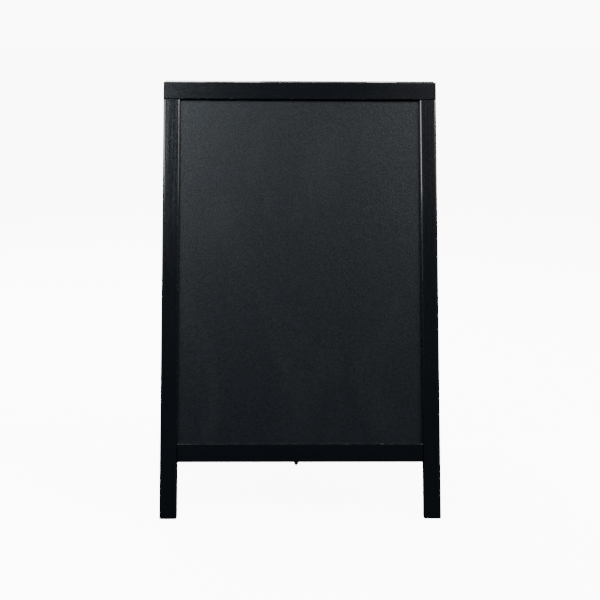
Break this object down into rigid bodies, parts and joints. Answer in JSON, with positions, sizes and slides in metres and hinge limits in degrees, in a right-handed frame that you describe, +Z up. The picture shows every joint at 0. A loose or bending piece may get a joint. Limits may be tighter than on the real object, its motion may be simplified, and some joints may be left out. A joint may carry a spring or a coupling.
{
  "type": "sandwich board",
  "caption": "Folding A-frame pavement chalkboard: two black lacquered wooden frames with recessed dark panels, hinged at the ridge and held open by a chain.",
  "frame": {"origin": "on the floor, at the centre of the open board's footprint, midway between the two boards", "axes": "+X across the board to its right seen from the front, +Y from the front board to the rear board, +Z up; the front board's face looks towards -Y"},
  "size_m": [0.555, 0.562, 0.84],
  "materials": {
    "black_lacquer": "satin black lacquer over wood",
    "chalkboard": "matt dark grey chalkboard paint, fine orange-peel texture",
    "hinge_steel": "zinc-plated steel",
    "chain_nickel": "nickel-plated wire"
  },
  "bodies": {
    "front_board": {"front_left_stile": "black_lacquer", "front_right_stile": "black_lacquer", "front_top_rail": "black_lacquer", "front_bottom_rail": "black_lacquer", "front_chalkboard_panel": "chalkboard", "front_chain_eye": "chain_nickel", "left_hinge_pin": "hinge_steel", "left_hinge_front_leaf": "hinge_steel", "left_hinge_front_screw_1": "hinge_steel", "left_hinge_front_screw_2": "hinge_steel", "left_hinge_front_screw_3": "hinge_steel", "right_hinge_pin": "hinge_steel", "right_hinge_front_leaf": "hinge_steel", "right_hinge_front_screw_1": "hinge_steel", "right_hinge_front_screw_2": "hinge_steel", "right_hinge_front_screw_3": "hinge_steel", "chain_link_01": "chain_nickel", "chain_link_02": "chain_nickel", "chain_link_03": "chain_nickel", "chain_link_04": "chain_nickel", "chain_link_05": "chain_nickel", "chain_link_06": "chain_nickel", "chain_link_07": "chain_nickel", "chain_link_08": "chain_nickel", "chain_link_09": "chain_nickel", "chain_link_10": "chain_nickel", "chain_link_11": "chain_nickel", "chain_link_12": "chain_nickel", "chain_link_13": "chain_nickel", "chain_link_14": "chain_nickel"},
    "rear_board": {"rear_left_stile": "black_lacquer", "rear_right_stile": "black_lacquer", "rear_top_rail": "black_lacquer", "rear_bottom_rail": "black_lacquer", "rear_chalkboard_panel": "chalkboard", "rear_chain_eye": "chain_nickel", "left_hinge_rear_leaf": "hinge_steel", "left_hinge_rear_screw_1": "hinge_steel", "left_hinge_rear_screw_2": "hinge_steel", "left_hinge_rear_screw_3": "hinge_steel", "right_hinge_rear_leaf": "hinge_steel", "right_hinge_rear_screw_1": "hinge_steel", "right_hinge_rear_screw_2": "hinge_steel", "right_hinge_rear_screw_3": "hinge_steel", "chain_link_15": "chain_nickel", "chain_link_16": "chain_nickel", "chain_link_17": "chain_nickel", "chain_link_18": "chain_nickel", "chain_link_19": "chain_nickel", "chain_link_20": "chain_nickel", "chain_link_21": "chain_nickel", "chain_link_22": "chain_nickel", "chain_link_23": "chain_nickel", "chain_link_24": "chain_nickel", "chain_link_25": "chain_nickel", "chain_link_26": "chain_nickel", "chain_link_27": "chain_nickel"}
  },
  "joints": [
    {"name": "fold", "type": "hinge", "parent": "front_board", "child": "rear_board", "pos_m": [0, 0, 0.83683], "axis": [-1, 0, 0], "range_deg": [-2, 32], "deforming": ["chain_link_01", "chain_link_02", "chain_link_03", "chain_link_04", "chain_link_05", "chain_link_06", "chain_link_07", "chain_link_08", "chain_link_09", "chain_link_10", "chain_link_11", "chain_link_12", "chain_link_13", "chain_link_14", "chain_link_15", "chain_link_16", "chain_link_17", "chain_link_18", "chain_link_19", "chain_link_20", "chain_link_21", "chain_link_22", "chain_link_23", "chain_link_24", "chain_link_25", "chain_link_26", "chain_link_27"]}
  ]
}
